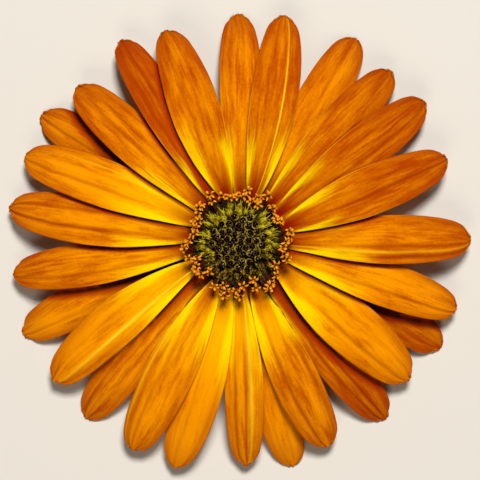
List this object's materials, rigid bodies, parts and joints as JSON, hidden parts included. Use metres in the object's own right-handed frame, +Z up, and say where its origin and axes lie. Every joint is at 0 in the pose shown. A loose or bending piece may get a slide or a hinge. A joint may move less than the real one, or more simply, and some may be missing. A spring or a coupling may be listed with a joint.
{
  "type": "african daisy flower",
  "caption": "Picked orange African daisy head, face up: long ray petals around a disc of open and closed florets, on a cup of green bracts and a short cut stem.",
  "frame": {"origin": "on the surface that the flower rests on, under the middle of the disc", "axes": "+Z up along the flower's own axis, out of the disc's face; +Y towards the top of the face as seen from the front, +X to its right"},
  "size_m": [0.0651, 0.0643, 0.0106],
  "materials": {
    "petal": "soft satin fresh petal, orange with yellow inner margins and fine lengthwise grooves",
    "green": "matt fresh green tissue with short hairs",
    "flesh": "matt pale green fleshy tissue",
    "open_floret": "matt orange anthers on dark purple tubes",
    "closed_floret": "waxy yellow-green",
    "bud": "glossy dark purple"
  },
  "bodies": {
    "root": {"stem": "green", "receptacle": "flesh", "ray_petal_01": "petal", "ray_petal_02": "petal", "ray_petal_03": "petal", "ray_petal_04": "petal", "ray_petal_05": "petal", "ray_petal_06": "petal", "ray_petal_07": "petal", "ray_petal_08": "petal", "ray_petal_09": "petal", "ray_petal_10": "petal", "ray_petal_11": "petal", "ray_petal_12": "petal", "ray_petal_13": "petal", "ray_petal_14": "petal", "ray_petal_15": "petal", "ray_petal_16": "petal", "ray_petal_17": "petal", "ray_petal_18": "petal", "ray_petal_19": "petal", "ray_petal_20": "petal", "ray_petal_21": "petal", "ray_petal_22": "petal", "ray_petal_23": "petal", "ray_petal_24": "petal", "ray_petal_25": "petal", "ray_petal_26": "petal", "bract_inner_01": "green", "bract_inner_02": "green", "bract_inner_03": "green", "bract_inner_04": "green", "bract_inner_05": "green", "bract_inner_06": "green", "bract_inner_07": "green", "bract_inner_08": "green", "bract_outer_01": "green", "bract_outer_02": "green", "bract_outer_03": "green", "bract_outer_04": "green", "bract_outer_05": "green", "bract_outer_06": "green", "bract_outer_07": "green", "bract_outer_08": "green", "disc_florets_open": "open_floret", "disc_florets_closed": "closed_floret", "disc_buds": "bud"}
  },
  "joints": []
}
